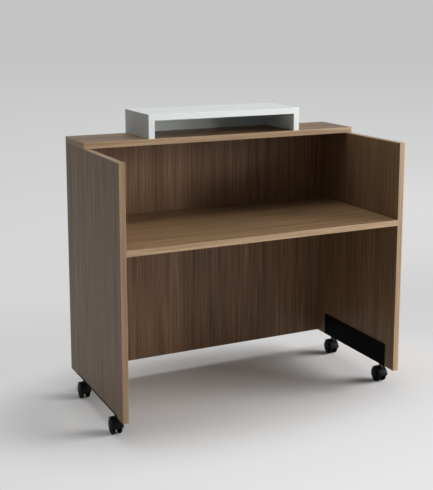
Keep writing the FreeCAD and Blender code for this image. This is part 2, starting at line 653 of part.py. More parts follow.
def main():
    """Write every node."""
    os.makedirs("parts", exist_ok=True)
    right_panel = side_panel()
    right_bands = side_bands()
    right_rail = rail()
    right_riser_wall = riser_wall()
    save("right_side_panel", [right_panel])
    save("left_side_panel", [across(right_panel)])
    save("right_panel_edge_bands", right_bands)
    save("left_panel_edge_bands", [across(band) for band in right_bands])
    save("back_panel", [back_panel()])
    save("top_board", [top_board()])
    save("top_board_edge_bands", top_bands())
    save("worksurface", [worksurface()])
    save("worksurface_edge_band", [worksurface_band()])
    save("riser_top", [riser_top()])
    save("riser_right_wall", [right_riser_wall])
    save("riser_left_wall", [across(right_riser_wall)])
    save("riser_back", [riser_back()])
    save("right_rail", [right_rail])
    save("left_rail", [across(right_rail)])
    save("caster_insert_nuts", both_sides([caster_nut(y) for y in STEM_PLACES.values()]))
    save("rail_screws", both_sides([screw(head, RAIL_GAUGE) for head in RAIL_SCREW_HEADS]))
    save("riser_screws", both_sides([screw(head, BOARD) for head in RISER_SCREW_HEADS]))
    save("cam_bolts", both_sides([cam_bolt(y) for y in CAM_PLACES]))
    save("cam_locks", both_sides([cam_lock(y) for y in CAM_PLACES]))
    save("back_panel_dowels", both_sides(dowels(BACK_DOWELS)))
    save("top_board_dowels", both_sides(dowels(TOP_SIDE_DOWELS)) + dowels(TOP_BACK_DOWELS))
    save("worksurface_dowels", both_sides(dowels(DESK_SIDE_DOWELS)) + dowels(DESK_BACK_DOWELS))
    save("riser_dowels", both_sides(dowels(RISER_SIDE_DOWELS)) + dowels(RISER_BACK_DOWELS))
    save_casters()


main()
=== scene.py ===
"""Presentation lectern: a veneered carcass, a lacquered riser, folded steel rails and casters.

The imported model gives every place. The classes below dress its nodes and model the pieces that
need a finer shape: the riser's boards and the casters' hoods, hubs and tyres. Lengths are in
metres; +X is to the user's right, +Y runs from the user to the audience and +Z is up.
"""

import logging
import math
from collections.abc import Callable, Iterable
from dataclasses import dataclass, field, replace
from enum import Enum

import bmesh
import bpy
from bmesh.types import BMEdge, BMesh, BMFace
from mathutils import Euler, Matrix, Vector


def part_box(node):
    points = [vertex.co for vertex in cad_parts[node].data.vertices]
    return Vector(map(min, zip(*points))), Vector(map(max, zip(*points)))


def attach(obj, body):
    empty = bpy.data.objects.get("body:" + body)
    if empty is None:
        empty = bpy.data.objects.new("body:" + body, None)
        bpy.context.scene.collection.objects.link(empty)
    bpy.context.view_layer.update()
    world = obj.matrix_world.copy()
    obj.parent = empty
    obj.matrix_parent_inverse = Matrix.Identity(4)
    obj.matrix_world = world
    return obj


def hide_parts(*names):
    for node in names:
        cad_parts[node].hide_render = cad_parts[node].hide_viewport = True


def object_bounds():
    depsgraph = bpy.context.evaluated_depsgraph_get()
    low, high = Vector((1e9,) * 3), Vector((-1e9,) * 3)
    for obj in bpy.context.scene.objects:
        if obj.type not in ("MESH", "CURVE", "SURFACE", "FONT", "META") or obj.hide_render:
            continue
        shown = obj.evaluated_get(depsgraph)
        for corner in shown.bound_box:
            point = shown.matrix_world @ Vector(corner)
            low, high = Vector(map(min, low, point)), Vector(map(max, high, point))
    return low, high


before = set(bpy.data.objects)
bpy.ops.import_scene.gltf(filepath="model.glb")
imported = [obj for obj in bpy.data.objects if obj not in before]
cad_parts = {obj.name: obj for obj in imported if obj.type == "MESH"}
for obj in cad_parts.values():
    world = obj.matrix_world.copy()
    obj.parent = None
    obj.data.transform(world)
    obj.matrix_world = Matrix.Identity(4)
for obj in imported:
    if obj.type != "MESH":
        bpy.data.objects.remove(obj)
CAD_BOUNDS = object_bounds()

MERGE_DISTANCE = 1e-6
SMOOTH_ANGLE = math.radians(35.0)
ROOT_BODY = "lectern"
ROOM_TONE = (0.55, 0.55, 0.55)     # what shows behind the object, and the floor's tone far away

Colour = tuple[float, float, float]
Profile = list[tuple[float, float]]

log = logging.getLogger("lectern")


# ---- Shader building -------------------------------------------------------------------------
class Grain(Enum):
    """Way that the grain runs, as the turn (degrees) that lays it along the pattern's Z axis."""

    ALONG_X = (0.0, -90.0, 0.0)
    ALONG_Y = (90.0, 0.0, 0.0)
    UPRIGHT = (0.0, 0.0, 0.0)


class ShaderSheet:
    """The node tree of one new material, with short calls that add and join its nodes."""

    def __init__(self, name: str) -> None:
        """Start a material with a principled surface.

        Args:
            name: The material's name.
        """
        self.material = bpy.data.materials.new(name)
        self.material.use_nodes = True
        self.nodes = self.material.node_tree.nodes
        self.links = self.material.node_tree.links
        self.surface = self.nodes["Principled BSDF"]
        self.place = self.add("ShaderNodeTexCoord").outputs["Object"]

    def add(self, kind: str, sockets: dict | None = None, **settings: object) -> bpy.types.Node:
        """Add a node.

        Args:
            kind: Blender's name for the kind of node.
            sockets: What goes into each input, by the input's name or number.
            **settings: Values of the node's own options.

        Returns:
            The new node.
        """
        node = self.nodes.new(kind)
        for option, value in settings.items():
            setattr(node, option, value)
        for key, value in (sockets or {}).items():
            self.feed(node.inputs[key], value)
        return node

    def feed(self, socket: bpy.types.NodeSocket, value: object) -> None:
        """Link another node's output into an input, or set the input's own value.

        Args:
            socket: The input.
            value: An output socket, or a plain value.
        """
        if isinstance(value, bpy.types.NodeSocket):
            self.links.new(value, socket)
        else:
            socket.default_value = value

    def dress(self, **sockets: object) -> None:
        """Feed the principled surface.

        Args:
            **sockets: Values or outputs by the input's name, with _ for a space.
        """
        for key, value in sockets.items():
            self.feed(self.surface.inputs[key.replace("_", " ")], value)

    def turned(self, grain: Grain) -> bpy.types.NodeSocket:
        """Object coordinates turned so that the grain runs along Z.

        Args:
            grain: Way that the grain runs on the object.

        Returns:
            The turned coordinates.
        """
        turn = tuple(math.radians(angle) for angle in grain.value)
        mapping = self.add("ShaderNodeMapping", {"Vector": self.place, "Rotation": turn})
        return mapping.outputs["Vector"]

    def noise(
        self,
        size: tuple[float, float, float],
        place: bpy.types.NodeSocket | None = None,
        detail: float = 2.0,
        output: str = "Fac",
    ) -> bpy.types.NodeSocket:
        """Noise whose lumps have a given size.

        Args:
            size: Lump size along each axis, in metres.
            place: Coordinates to read, or None for the object's own.
            detail: Octaves of finer noise.
            output: Which output to give: Fac or Color.

        Returns:
            The noise.
        """
        scale = tuple(1.0 / length for length in size)
        stretched = self.add("ShaderNodeMapping", {"Vector": place or self.place, "Scale": scale})
        sockets = {"Vector": stretched.outputs["Vector"], "Scale": 1.0, "Detail": detail}
        return self.add("ShaderNodeTexNoise", sockets).outputs[output]

    def math(self, operation: str, *values: object) -> bpy.types.NodeSocket:
        """One step of arithmetic.

        Args:
            operation: Blender's name for the operation.
            *values: Its operands.

        Returns:
            The result.
        """
        sockets = dict(enumerate(values))
        return self.add("ShaderNodeMath", sockets, operation=operation).outputs["Value"]

    def spread(
        self, value: bpy.types.NodeSocket, span: tuple[float, float], to: tuple[float, float]
    ) -> bpy.types.NodeSocket:
        """Carry one range of values onto another, held at both ends.

        Args:
            value: What is carried over.
            span: The range it comes from.
            to: The range it goes to.

        Returns:
            The new value.
        """
        sockets = {
            "Value": value, "From Min": span[0], "From Max": span[1], "To Min": to[0], "To Max": to[1],
        }
        return self.add("ShaderNodeMapRange", sockets).outputs["Result"]

    def ramp(
        self, factor: bpy.types.NodeSocket, stops: Iterable[tuple[float, Colour]]
    ) -> bpy.types.NodeSocket:
        """A colour that changes with a factor.

        Args:
            factor: Where on the ramp to read.
            stops: Places on the ramp and their colours, in rising order.

        Returns:
            The colour.
        """
        node = self.add("ShaderNodeValToRGB", {"Fac": factor})
        elements = node.color_ramp.elements
        for index, (position, colour) in enumerate(stops):
            stop = elements[index] if index < len(elements) else elements.new(position)
            stop.position = position
            stop.color = (*colour, 1.0)
        return node.outputs["Color"]

    def relief(self, height: bpy.types.NodeSocket, depth: float, strength: float) -> None:
        """Give the surface a fine relief.

        Args:
            height: Height between 0 and 1.
            depth: Height of a whole step, in metres.
            strength: How strongly it shows.
        """
        bump = self.add("ShaderNodeBump", {"Height": height, "Distance": depth, "Strength": strength})
        self.dress(Normal=bump.outputs["Normal"])

    def rays_to_show(self) -> bpy.types.NodeSocket:
        """1 for rays that show the background directly or in a reflection, else 0."""
        return shown_rays(self.material.node_tree)


def shown_rays(tree: bpy.types.NodeTree) -> bpy.types.NodeSocket:
    """A factor that is 1 for rays that show the background directly or in a reflection.

    Args:
        tree: The node tree to add to.

    Returns:
        The factor.
    """
    rays = tree.nodes.new("ShaderNodeLightPath")
    total = rays.outputs["Is Camera Ray"]
    for kind in ("Is Glossy Ray", "Is Transmission Ray"):
        either = tree.nodes.new("ShaderNodeMath")
        either.operation = "MAXIMUM"
        tree.links.new(total, either.inputs[0])
        tree.links.new(rays.outputs[kind], either.inputs[1])
        total = either.outputs["Value"]
    return total


# ---- Finishes --------------------------------------------------------------------------------
@dataclass(frozen=True)
class WoodFinish:
    """Straight-grained wood under a satin lacquer."""

    name: str
    grain: Grain
    dark: Colour
    middle: Colour
    light: Colour
    streak: float = 0.0062       # width of a streak
    band: float = 0.030          # width of a broad streak
    leaf: float = 0.12           # width of a leaf of veneer
    run: float = 0.35            # length of a streak
    wander: float = 0.006        # how far the streaks stray sideways
    pore: float = 0.0013
    pore_run: float = 0.022
    roughness: float = 0.46
    shine: float = 0.3           # specular level
    contrast: float = 0.16       # half the spread of tone that the colours cover
    leaf_share: float = 0.2
    cross: tuple[str, float] | None = None    # axis and distance past which strips run along Y

    def grain_place(self, sheet: ShaderSheet) -> bpy.types.NodeSocket:
        """Coordinates whose Z axis follows the grain, on the crossing strips too.

        Args:
            sheet: The material being made.

        Returns:
            The coordinates.
        """
        turned = sheet.turned(self.grain)
        if self.cross is None:
            return turned
        axis, distance = self.cross
        apart = sheet.add("ShaderNodeSeparateXYZ", {"Vector": sheet.place})
        past = sheet.math("GREATER_THAN", sheet.math("ABSOLUTE", apart.outputs[axis]), distance)
        crossing = sheet.turned(Grain.ALONG_Y)
        return sheet.add(
            "ShaderNodeMix", {"Factor": past, 4: turned, 5: crossing}, data_type="VECTOR"
        ).outputs[1]

    def make(self) -> bpy.types.Material:
        """Build the material: wandering streaks, broader bands, leaves and dark pores."""
        sheet = ShaderSheet(self.name)
        turned = self.grain_place(sheet)
        sway = sheet.noise((0.14, 0.14, 0.5), turned, detail=1.0, output="Color")
        strayed = sheet.add(
            "ShaderNodeVectorMath",
            {0: sway, 1: (self.wander, self.wander, 0.0), 2: turned},
            operation="MULTIPLY_ADD",
        ).outputs["Vector"]
        fine = sheet.noise((self.streak, self.streak, self.run), strayed, detail=3.5)
        broad = sheet.noise((self.band, self.band, 4 * self.run), strayed, detail=2.0)
        leaf = sheet.noise((self.leaf, self.leaf, 10 * self.run), turned, detail=1.0)
        fine_share = 0.72 * (1.0 - self.leaf_share)
        broad_share = 0.28 * (1.0 - self.leaf_share)
        tone = sheet.math("MULTIPLY", fine, fine_share)
        tone = sheet.math("MULTIPLY_ADD", broad, broad_share, tone)
        tone = sheet.math("MULTIPLY_ADD", leaf, self.leaf_share, tone)
        colour = sheet.ramp(
            tone,
            ((0.5 - self.contrast, self.dark), (0.5, self.middle), (0.5 + self.contrast, self.light)),
        )
        pores = sheet.noise((self.pore, self.pore, self.pore_run), strayed, detail=1.0)
        pores = sheet.spread(pores, (0.56, 0.72), (0.0, 1.0))
        depth = sheet.math("MULTIPLY", pores, 0.45)
        shaded = sheet.add("ShaderNodeMix", {0: depth, 6: colour, 7: (*self.dark, 1.0)}, data_type="RGBA")
        gloss = sheet.spread(tone, (0.3, 0.7), (self.roughness + 0.05, self.roughness - 0.05))
        sheet.dress(Base_Color=shaded.outputs[2], Roughness=gloss, Specular_IOR_Level=self.shine)
        height = sheet.math("MULTIPLY_ADD", pores, -0.8, tone)
        sheet.relief(height, 0.0002, 0.35)
        return sheet.material


def painted_light_copy(tones: dict[str, Colour], factor: float) -> dict[str, Colour]:
    """The same tones, paler or darker by a factor: a copy with light or shade painted in for one board."""
    return {name: tuple(factor * channel for channel in tone) for name, tone in tones.items()}


@dataclass(frozen=True)
class LacquerFinish:
    """Sprayed satin lacquer on a filled board, with a faint orange peel."""

    name: str
    colour: Colour
    shade: Colour
    roughness: float = 0.55
    shine: float = 0.1           # specular level
    peel: float = 0.0022

    def make(self) -> bpy.types.Material:
        """Build the material."""
        sheet = ShaderSheet(self.name)
        clouds = sheet.noise((0.12, 0.12, 0.12), detail=3.0)
        colour = sheet.ramp(clouds, ((0.3, self.shade), (0.7, self.colour)))
        gloss = sheet.spread(clouds, (0.3, 0.7), (self.roughness - 0.03, self.roughness + 0.03))
        sheet.dress(Base_Color=colour, Roughness=gloss, Specular_IOR_Level=self.shine)
        sheet.relief(sheet.noise((self.peel,) * 3, detail=1.0), 0.00005, 0.25)
        return sheet.material


@dataclass(frozen=True)
class TexturedFinish:
    """An evenly textured skin: powder coat, moulded plastic or tread rubber."""

    name: str
    colour: Colour
    worn: Colour
    roughness: float
    grit: float                  # size of the texture's lumps
    depth: float                 # height of the texture
    shine: float = 0.3           # specular level
    strength: float = 0.4

    def make(self) -> bpy.types.Material:
        """Build the material: faint clouds of wear over a fine texture."""
        sheet = ShaderSheet(self.name)
        clouds = sheet.noise((0.03, 0.03, 0.03), detail=4.0)
        colour = sheet.ramp(clouds, ((0.35, self.colour), (0.75, self.worn)))
        gloss = sheet.spread(clouds, (0.3, 0.7), (self.roughness - 0.05, self.roughness + 0.06))
        sheet.dress(Base_Color=colour, Roughness=gloss, Specular_IOR_Level=self.shine)
        sheet.relief(sheet.noise((self.grit,) * 3, detail=2.0), self.depth, self.strength)
        return sheet.material


@dataclass(frozen=True)
class SteelFinish:
    """Plated steel with a slightly cloudy passivated skin."""

    name: str
    colour: Colour
    cloud: Colour
    roughness: float

    def make(self) -> bpy.types.Material:
        """Build the material."""
        sheet = ShaderSheet(self.name)
        clouds = sheet.noise((0.006, 0.006, 0.006), detail=3.0)
        colour = sheet.ramp(clouds, ((0.35, self.colour), (0.7, self.cloud)))
        gloss = sheet.spread(clouds, (0.3, 0.7), (self.roughness - 0.06, self.roughness + 0.08))
        sheet.surface.inputs["Metallic"].default_value = 1.0
        sheet.dress(Base_Color=colour, Roughness=gloss)
        sheet.relief(sheet.noise((0.0006, 0.0006, 0.004), detail=2.0), 0.00002, 0.3)
        return sheet.material


@dataclass(frozen=True)
class FloorFinish:
    """Pale matt floor that passes into a glowing backdrop a little way from the object; the glow is painted light,
    brighter in front and to the right, and thins the object's shadow past its footprint.
    """

    name: str = "pale_floor"
    colour: Colour = (0.91, 0.91, 0.91)
    near: float = 1.0            # where the backdrop starts, in half-lengths of the footprint
    clear: float = 2.1           # where the floor has passed into it
    painted_light_sweep: tuple[tuple[float, float], ...] = (
        (-1.0, 0.81), (-0.4, 0.72), (0.2, 0.66), (0.6, 0.63), (1.0, 0.64), (1.6, 0.68),
        (2.6, 0.68), (5.0, 0.65),
    )                            # places along Y and the backdrop's brightness there, brighter in front: painted light
    away: tuple[tuple[float, float], ...] = (
        (0.0, 0.0), (4.5, 0.0), (7.0, 0.25), (10.0, 0.49), (15.0, 0.72), (20.0, 0.85), (30.0, 1.0),
    )                            # distances and how much of the room's tone shows there
    painted_light_slant: float = 0.05          # how much brighter the painted light makes the backdrop a few metres to the right

    def profile(
        self, sheet: ShaderSheet, value: bpy.types.NodeSocket, points: tuple[tuple[float, float], ...]
    ) -> bpy.types.NodeSocket:
        """A grey that follows a profile.

        Args:
            sheet: The material being made.
            value: What the profile runs along.
            points: Values and the grey at each, in order.

        Returns:
            The grey.
        """
        first, last = points[0][0], points[-1][0]
        along = sheet.spread(value, (first, last), (0.0, 1.0))
        stops = (((place - first) / (last - first), (grey,) * 3) for place, grey in points)
        return sheet.ramp(along, stops)

    def make(self) -> bpy.types.Material:
        """Build the material."""
        sheet = ShaderSheet(self.name)
        sheet.surface.inputs["Specular IOR Level"].default_value = 0.15
        sheet.surface.inputs["Roughness"].default_value = 0.85
        clouds = sheet.noise((0.9, 0.9, 0.9), detail=3.0)
        light = tuple(channel * 1.02 for channel in self.colour)
        sheet.dress(Base_Color=sheet.ramp(clouds, ((0.3, self.colour), (0.7, light))))
        low, high = CAD_BOUNDS
        half = (Vector(high) - Vector(low)) / 2
        centre = (Vector(high) + Vector(low)) / 2
        scale = (1.0 / half.x, 1.0 / half.y, 0.0)
        shift = (-centre.x / half.x, -centre.y / half.y, 0.0)
        footprint = sheet.add("ShaderNodeMapping", {"Vector": sheet.place, "Scale": scale, "Location": shift})
        distance = sheet.add("ShaderNodeVectorMath", {0: footprint.outputs["Vector"]}, operation="LENGTH")
        fade = sheet.add(
            "ShaderNodeMapRange",
            {"Value": distance.outputs["Value"], "From Min": self.near, "From Max": self.clear},
            interpolation_type="SMOOTHSTEP",
        ).outputs["Result"]
        # Painted light: the backdrop's glow follows a profile along Y, brightest in front, and grows towards the right
        # where the lamps stand.
        apart = sheet.add("ShaderNodeSeparateXYZ", {"Vector": sheet.place})
        glow = self.profile(sheet, apart.outputs["Y"], self.painted_light_sweep)
        lift = sheet.spread(apart.outputs["X"], (-2.0, 3.0), (1.0 - self.painted_light_slant, 1.0 + self.painted_light_slant))
        painted_glow = sheet.add("ShaderNodeVectorMath", {0: glow, "Scale": lift}, operation="SCALE")
        reach = sheet.add("ShaderNodeVectorMath", {0: sheet.place}, operation="LENGTH")
        away = self.profile(sheet, reach.outputs["Value"], self.away)
        tone = sheet.add(
            "ShaderNodeMix", {"Factor": away, 6: painted_glow.outputs[0], 7: (*ROOM_TONE, 1.0)}, data_type="RGBA"
        )
        backdrop = sheet.add("ShaderNodeEmission", {"Color": tone.outputs[2]})
        # Past the footprint, camera and reflection rays see the glow rather than the lit floor: painted light that
        # thins the object's shadow there.
        factor = sheet.math("MULTIPLY", fade, sheet.rays_to_show())
        mixed = sheet.add(
            "ShaderNodeMixShader",
            {0: factor, 1: sheet.surface.outputs[0], 2: backdrop.outputs[0]},
        )
        sheet.feed(sheet.nodes["Material Output"].inputs["Surface"], mixed.outputs[0])
        return sheet.material


WALNUT = {"dark": (0.100, 0.056, 0.026), "middle": (0.184, 0.111, 0.056), "light": (0.280, 0.180, 0.098)}
WALNUT_STRIP = {"dark": (0.272, 0.176, 0.096), "middle": (0.360, 0.240, 0.139), "light": (0.440, 0.304, 0.187)}

# Painted light and shade: every board is the same walnut veneer, but each board's copy of the tones is paler or darker
# by how much light falls on it. The desk's copy is paler for the light that falls on it from above, and the back's own
# tones are paler and redder, standing in for light bounced round the bay.
VENEER_BACK = WoodFinish(
    "walnut_veneer_back_painted_light", Grain.UPRIGHT,
    dark=(0.110, 0.057, 0.028), middle=(0.205, 0.114, 0.059), light=(0.322, 0.193, 0.106), contrast=0.14,
)
VENEER_SIDE = WoodFinish("walnut_veneer_side", Grain.UPRIGHT, **painted_light_copy(WALNUT, 1.04), contrast=0.2, leaf_share=0.08)
VENEER_TOP = WoodFinish("walnut_veneer_top", Grain.ALONG_X, **WALNUT, contrast=0.16)
VENEER_DESK = WoodFinish("walnut_veneer_desk_painted_light", Grain.ALONG_X, **painted_light_copy(WALNUT, 1.26), contrast=0.15, leaf_share=0.12)
# Painted light and shade: the edge strips are one walnut, but the left strip's copy is darker and the right strip's
# paler because light falls from the right, and the desk's strip is paler for the light it gets.
STRIP_LEFT = WoodFinish("walnut_strip_left_painted_shade", Grain.UPRIGHT, **painted_light_copy(WALNUT_STRIP, 0.85), contrast=0.12, leaf_share=0.1)
STRIP_RIGHT = WoodFinish("walnut_strip_right_painted_light", Grain.UPRIGHT, **painted_light_copy(WALNUT_STRIP, 1.05), contrast=0.12, leaf_share=0.1)
STRIP_TOP = WoodFinish("walnut_strip_top", Grain.ALONG_X, **WALNUT_STRIP, contrast=0.12, leaf_share=0.1)
STRIP_DESK = WoodFinish("walnut_strip_desk_painted_light", Grain.ALONG_X, **painted_light_copy(WALNUT_STRIP, 1.1), contrast=0.12, leaf_share=0.1)
BEECH = WoodFinish(
    "beech_dowel", Grain.ALONG_X,
    dark=(0.42, 0.27, 0.15), middle=(0.58, 0.41, 0.25), light=(0.68, 0.52, 0.35), roughness=0.6,
)
RISER_LACQUER = LacquerFinish("riser_lacquer", (0.772, 0.816, 0.802), (0.757, 0.801, 0.787))
POWDER_COAT = TexturedFinish(
    "black_powder_coat", (0.0016, 0.0016, 0.0017), (0.0030, 0.0030, 0.0030), 0.6, 0.0009, 0.00006, 0.04
)
HOOD_PLASTIC = TexturedFinish(
    "moulded_hood", (0.0022, 0.0022, 0.0024), (0.0036, 0.0036, 0.0036), 0.42, 0.0006, 0.00003, 0.08
)
WHEEL_PLASTIC = TexturedFinish(
    "moulded_wheel", (0.0022, 0.0022, 0.0024), (0.0040, 0.0040, 0.0040), 0.45, 0.0006, 0.00003, 0.08
)
TREAD_RUBBER = TexturedFinish(
    "tread_rubber", (0.0035, 0.0035, 0.0035), (0.0065, 0.0065, 0.0064), 0.7, 0.0005, 0.00004, 0.06
)
ZINC = SteelFinish("zinc_plate", (0.50, 0.51, 0.52), (0.62, 0.62, 0.60), 0.36)
BLACK_ZINC = SteelFinish("black_zinc_plate", (0.020, 0.020, 0.022), (0.035, 0.035, 0.035), 0.45)


class Palette:
    """Makes each finish's material once."""

    def __init__(self) -> None:
        """Start with no materials."""
        self.made: dict[str, bpy.types.Material] = {}

    def material(self, finish: WoodFinish | LacquerFinish | TexturedFinish | SteelFinish) -> bpy.types.Material:
        """The material of a finish.

        Args:
            finish: The finish.

        Returns:
            Its material.
        """
        if finish.name not in self.made:
            self.made[finish.name] = finish.make()
        return self.made[finish.name]


# ---- Mesh building ---------------------------------------------------------------------------
def cuboid(low: Vector, high: Vector) -> BMesh:
    """A box between two corners.

    Args:
        low: Its lowest corner.
        high: Its highest corner.

    Returns:
        The mesh being built.
    """
    bm = bmesh.new()
    bmesh.ops.create_cube(bm, size=1.0)
    bmesh.ops.scale(bm, vec=high - low, verts=bm.verts)
    bmesh.ops.translate(bm, vec=(low + high) / 2, verts=bm.verts)
    return bm


def edges_where(bm: BMesh, axis: Vector, test: Callable[[Vector], bool]) -> list[BMEdge]:
    """Edges along an axis whose middle passes a test.

    Args:
        bm: The mesh being built.
        axis: Unit vector that the edges run along.
        test: Tells from an edge's middle whether it is wanted.

    Returns:
        The edges.
    """
    chosen = []
    for edge in bm.edges:
        start, end = (vert.co for vert in edge.verts)
        along = abs((end - start).normalized().dot(axis))
        if along > 0.999 and test((start + end) / 2):
            chosen.append(edge)
    return chosen


def round_over(bm: BMesh, edges: list[BMEdge], width: float, segments: int = 3) -> None:
    """Round edges over.

    Args:
        bm: The mesh being built.
        edges: The edges.
        width: How far the rounding reaches from each edge.
        segments: Facets across the rounding.
    """
    bmesh.ops.bevel(
        bm, geom=edges, offset=width, offset_type="OFFSET", affect="EDGES",
        segments=segments, profile=0.5, material=-1, clamp_overlap=True,
    )


def arc(centre: tuple[float, float], radius: float, start: float, end: float, count: int) -> Profile:
    """Points on an arc of a profile.

    Args:
        centre: The arc's centre.
        radius: Its radius.
        start: Angle of its first point, in degrees.
        end: Angle of its last point, in degrees.
        count: How many points, both ends included.

    Returns:
        The points.
    """
    angles = [math.radians(start + (end - start) * index / (count - 1)) for index in range(count)]
    return [
        (centre[0] + radius * math.cos(angle), centre[1] + radius * math.sin(angle)) for angle in angles
    ]


def wire(bm: BMesh, profile: Profile, lay: Callable[[float, float], Vector], closed: bool) -> list:
    """Lay a profile into a mesh as a string of edges.

    Args:
        bm: The mesh being built.
        profile: The profile's points.
        lay: Where a point of the profile goes.
        closed: Whether the last point joins the first.

    Returns:
        The new vertices and edges.
    """
    verts = [bm.verts.new(lay(*point)) for point in profile]
    pairs = list(zip(verts, verts[1:]))
    if closed:
        pairs.append((verts[-1], verts[0]))
    return verts + [bm.edges.new(pair) for pair in pairs]


def seal(bm: BMesh) -> None:
    """Merge doubled vertices, then turn every face outwards.

    Args:
        bm: The mesh being built.
    """
    bmesh.ops.remove_doubles(bm, verts=bm.verts, dist=MERGE_DISTANCE)
    bmesh.ops.dissolve_degenerate(bm, edges=bm.edges, dist=MERGE_DISTANCE)
    bmesh.ops.recalc_face_normals(bm, faces=bm.faces)


def as_object(bm: BMesh, name: str) -> bpy.types.Object:
    """Turn a finished mesh into an object at the origin.

    Args:
        bm: The mesh being built; it is freed.
        name: The object's name.

    Returns:
        The object.
    """
    seal(bm)
    mesh = bpy.data.meshes.new(name)
    bm.to_mesh(mesh)
    bm.free()
    piece = bpy.data.objects.new(name, mesh)
    bpy.context.scene.collection.objects.link(piece)
    return piece


def combined(base: BMesh, steps: Iterable[tuple[str, BMesh]]) -> BMesh:
    """Join or carve closed shells, one after another.

    Args:
        base: The first shell.
        steps: Pairs of UNION or DIFFERENCE and the shell that it uses.

    Returns:
        One closed mesh.
    """
    body = as_object(base, "base_shell")
    tools = []
    for operation, shell in steps:
        tool = as_object(shell, "tool_shell")
        cut = body.modifiers.new(operation, "BOOLEAN")
        cut.operation = operation
        cut.solver = "EXACT"
        cut.object = tool
        tools.append(tool)
    graph = bpy.context.evaluated_depsgraph_get()
    bm = bmesh.new()
    bm.from_object(body, graph)
    for spent in [body, *tools]:
        mesh = spent.data
        bpy.data.objects.remove(spent)
        bpy.data.meshes.remove(mesh)
    return bm


def smooth_by_angle(piece: bpy.types.Object) -> None:
    """Shade a piece smooth, with its sharper edges kept crisp.

    Args:
        piece: The piece.
    """
    bm = bmesh.new()
    bm.from_mesh(piece.data)
    for face in bm.faces:
        face.smooth = True
    for edge in bm.edges:
        edge.smooth = edge.is_manifold and edge.calc_face_angle() < SMOOTH_ANGLE
    bm.to_mesh(piece.data)
    bm.free()
    weighted = piece.modifiers.new("even_shading", "WEIGHTED_NORMAL")
    weighted.keep_sharp = True


@dataclass(frozen=True)
class Role:
    """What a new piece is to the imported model."""

    body: str
    slot: str
    nodes: tuple[str, ...]


def publish(
    bm: BMesh, name: str, role: Role, material: bpy.types.Material
) -> bpy.types.Object:
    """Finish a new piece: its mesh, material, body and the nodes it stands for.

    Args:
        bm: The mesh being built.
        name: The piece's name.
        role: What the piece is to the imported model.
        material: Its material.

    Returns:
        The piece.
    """
    piece = as_object(bm, name)
    piece.data.materials.append(material)
    smooth_by_angle(piece)
    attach(piece, role.body)
    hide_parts(*role.nodes)
    log.info("%s: %d faces on %s", name, len(piece.data.polygons), role.body)
    return piece


def dress_node(name: str, material: bpy.types.Material) -> None:
    """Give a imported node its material.

    Args:
        name: The node.
        material: Its material.
    """
    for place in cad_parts[name].material_slots:
        place.material = material
    log.info("%s: dressed in %s", name, material.name)


# ---- Carcass ---------------------------------------------------------------------------------
@dataclass
class Carcass:
    """Veneered boards with solid edge strips, and the fastenings hidden in them."""

    palette: Palette
    strip: float = 0.002         # thickness of the edge strips
    finishes: dict[str, WoodFinish | SteelFinish] = field(default_factory=lambda: {
        "left_side_panel": VENEER_SIDE,
        "right_side_panel": VENEER_SIDE,
        "back_panel": VENEER_BACK,
        "top_board": VENEER_TOP,
        "worksurface": VENEER_DESK,
        "worksurface_edge_band": STRIP_DESK,
        "back_panel_dowels": BEECH,
        "top_board_dowels": BEECH,
        "worksurface_dowels": BEECH,
        "riser_dowels": BEECH,
        "cam_bolts": ZINC,
        "cam_locks": ZINC,
        "riser_screws": ZINC,
    })
    bands: dict[str, tuple[WoodFinish, str]] = field(default_factory=lambda: {
        "left_panel_edge_bands": (STRIP_LEFT, "Z"),
        "right_panel_edge_bands": (STRIP_RIGHT, "Z"),
        "top_board_edge_bands": (STRIP_TOP, "X"),
    })

    def build(self) -> None:
        """Dress every board, strip and fastening."""
        for node, finish in self.finishes.items():
            dress_node(node, self.palette.material(finish))
        for node, (finish, axis) in self.bands.items():
            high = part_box(node)[1]
            far = {"X": high.x, "Z": high.z}[axis] - self.strip
            dress_node(node, self.palette.material(replace(finish, cross=(axis, far))))


# ---- Riser -----------------------------------------------------------------------------------
@dataclass
class Riser:
    """Four lacquered boards whose open edges are eased."""

    palette: Palette
    ease: float = 0.0008
    nearby: float = 0.0005

    def __post_init__(self) -> None:
        """Read the boards' places."""
        self.top_low, self.top_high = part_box("riser_top")
        self.wall_low, self.wall_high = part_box("riser_right_wall")
        self.back_low, self.back_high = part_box("riser_back")

    def near(self, value: float, *planes: float) -> bool:
        """Whether a value lies on any of some planes."""
        return any(abs(value - plane) < self.nearby for plane in planes)

    def top_board(self) -> BMesh:
        """The upper board, eased all round, so that a fine line shows where it meets the walls."""
        bm = cuboid(self.top_low, self.top_high)
        round_over(bm, list(bm.edges), self.ease)
        return bm

    def wall(self, side: float) -> BMesh:
        """One wall, eased at its front.

        Args:
            side: -1 for the left wall, 1 for the right one.

        Returns:
            The mesh being built.
        """
        bm = cuboid(self.wall_low, self.wall_high)
        front = edges_where(bm, Vector((0, 0, 1)), lambda at: self.near(at.y, self.wall_low.y))
        round_over(bm, front, self.ease)
        if side < 0:
            bmesh.ops.scale(bm, vec=(-1.0, 1.0, 1.0), verts=bm.verts)
        return bm

    def back_board(self) -> BMesh:
        """The back, eased at its outer corners and round its hanging lower edge."""
        low, high = self.back_low, self.back_high
        bm = cuboid(low, high)
        edges = edges_where(bm, Vector((0, 0, 1)), lambda at: self.near(at.y, high.y))
        edges += edges_where(bm, Vector((1, 0, 0)), lambda at: self.near(at.z, low.z))
        round_over(bm, edges, self.ease)
        return bm

    def build(self) -> None:
        """Make the four boards."""
        boards = {
            "top": ("riser_top", self.top_board()),
            "left_wall": ("riser_left_wall", self.wall(-1.0)),
            "right_wall": ("riser_right_wall", self.wall(1.0)),
            "back": ("riser_back", self.back_board()),
        }
        material = self.palette.material(RISER_LACQUER)
        for name, (node, bm) in boards.items():
            publish(bm, f"lacquered_{name}", Role(ROOT_BODY, "riser_lacquer", (node,)), material)


